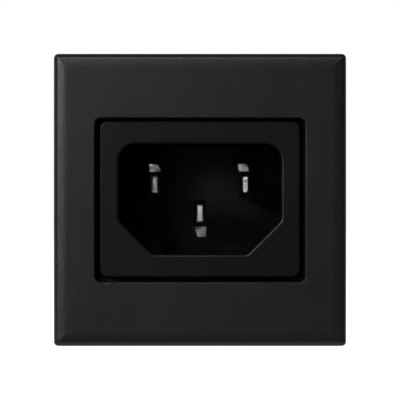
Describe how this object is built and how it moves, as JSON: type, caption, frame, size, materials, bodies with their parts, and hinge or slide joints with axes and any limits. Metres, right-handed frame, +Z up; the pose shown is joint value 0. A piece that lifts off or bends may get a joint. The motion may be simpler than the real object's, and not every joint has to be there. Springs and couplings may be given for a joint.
{
  "type": "appliance inlet socket",
  "caption": "Square panel module with a recessed C14 appliance inlet, flat pins in a chamfered cavity, snap-in latch arms and screw clamp terminals behind.",
  "frame": {"origin": "centre of the module in its seat plane, where the rear rim of the cover's skirt rests on the support frame", "axes": "+X right as seen from the front, +Y into the panel, +Z up"},
  "size_m": [0.0446, 0.0351, 0.0446],
  "materials": {
    "cover_plastic": "fine matt texture",
    "inlet_plastic": "smooth satin",
    "frame_plastic": "plain satin",
    "contact_metal": "nickel plated",
    "clamp_steel": "zinc plated",
    "screw_steel": "zinc plated"
  },
  "bodies": {
    "socket": {"front_plate": "cover_plastic", "carrier_frame": "frame_plastic", "inlet_housing": "inlet_plastic", "terminal_housing": "frame_plastic", "terminal_cover": "frame_plastic", "contact_line": "contact_metal", "contact_neutral": "contact_metal", "contact_earth": "contact_metal", "housing_screw_1": "screw_steel", "housing_screw_2": "screw_steel", "housing_screw_3": "screw_steel", "housing_screw_4": "screw_steel", "cover_screw_1": "screw_steel", "cover_screw_2": "screw_steel"},
    "clamp_line": {"clamp_line": "clamp_steel"},
    "clamp_neutral": {"clamp_neutral": "clamp_steel"},
    "clamp_earth": {"clamp_earth": "clamp_steel"},
    "clamp_screw_line": {"clamp_screw_line": "screw_steel"},
    "clamp_screw_neutral": {"clamp_screw_neutral": "screw_steel"},
    "clamp_screw_earth": {"clamp_screw_earth": "screw_steel"}
  },
  "joints": [
    {"name": "clamp_screw_line_turn", "type": "hinge", "parent": "socket", "child": "clamp_screw_line", "pos_m": [-0.007, 0.0172, 0.0024], "axis": [0, 0, -1], "range_deg": [0, 1728]},
    {"name": "clamp_line_rise", "type": "slide", "parent": "socket", "child": "clamp_line", "axis": [0, 0, 1], "range_m": [0, 0.0024]},
    {"name": "clamp_screw_neutral_turn", "type": "hinge", "parent": "socket", "child": "clamp_screw_neutral", "pos_m": [0.007, 0.0172, 0.0024], "axis": [0, 0, -1], "range_deg": [0, 1728]},
    {"name": "clamp_neutral_rise", "type": "slide", "parent": "socket", "child": "clamp_neutral", "axis": [0, 0, 1], "range_m": [0, 0.0024]},
    {"name": "clamp_screw_earth_turn", "type": "hinge", "parent": "socket", "child": "clamp_screw_earth", "pos_m": [0, 0.0172, -0.0021], "axis": [0, 0, 1], "range_deg": [0, 1728]},
    {"name": "clamp_earth_rise", "type": "slide", "parent": "socket", "child": "clamp_earth", "axis": [0, 0, -1], "range_m": [0, 0.0024]}
  ],
  "couplings": [
    {"joint": "clamp_screw_line_turn", "follows": "clamp_line_rise", "rad_per_m": 12566},
    {"joint": "clamp_screw_neutral_turn", "follows": "clamp_neutral_rise", "rad_per_m": 12566},
    {"joint": "clamp_screw_earth_turn", "follows": "clamp_earth_rise", "rad_per_m": 12566}
  ]
}
